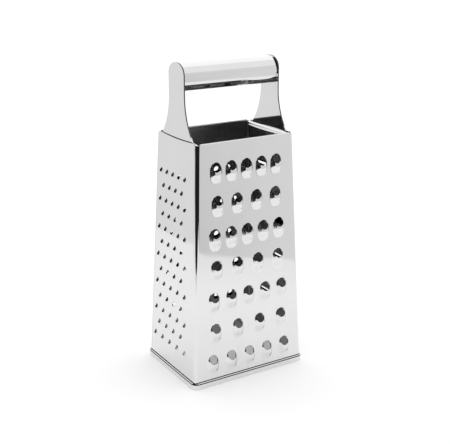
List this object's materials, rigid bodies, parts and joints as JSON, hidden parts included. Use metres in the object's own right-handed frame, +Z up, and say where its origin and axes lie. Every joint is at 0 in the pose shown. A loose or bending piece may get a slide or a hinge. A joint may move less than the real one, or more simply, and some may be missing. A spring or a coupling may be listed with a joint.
{
  "type": "box grater",
  "caption": "Tapered four-sided box grater of polished sheet steel with an open top and foot, a folded base rim and a tube grip between two pressed legs.",
  "frame": {"origin": "on the floor below the middle of the base rim", "axes": "+Z up along the body's height, +X along the wide walls, -Y out of the wide wall with the coarse teeth"},
  "size_m": [0.1004, 0.0767, 0.2405],
  "materials": {
    "wall_steel": "mirror-polished stainless sheet steel, punched and bent",
    "rim_steel": "mirror-polished stainless sheet steel, folded",
    "leg_steel": "mirror-polished stainless sheet steel, pressed",
    "grip_steel": "polished stainless tube"
  },
  "bodies": {
    "root": {"front_panel": "wall_steel", "rear_panel": "wall_steel", "left_panel": "wall_steel", "right_panel": "wall_steel", "base_rim": "rim_steel", "left_handle_leg": "leg_steel", "right_handle_leg": "leg_steel", "grip_tube": "grip_steel"}
  },
  "joints": []
}
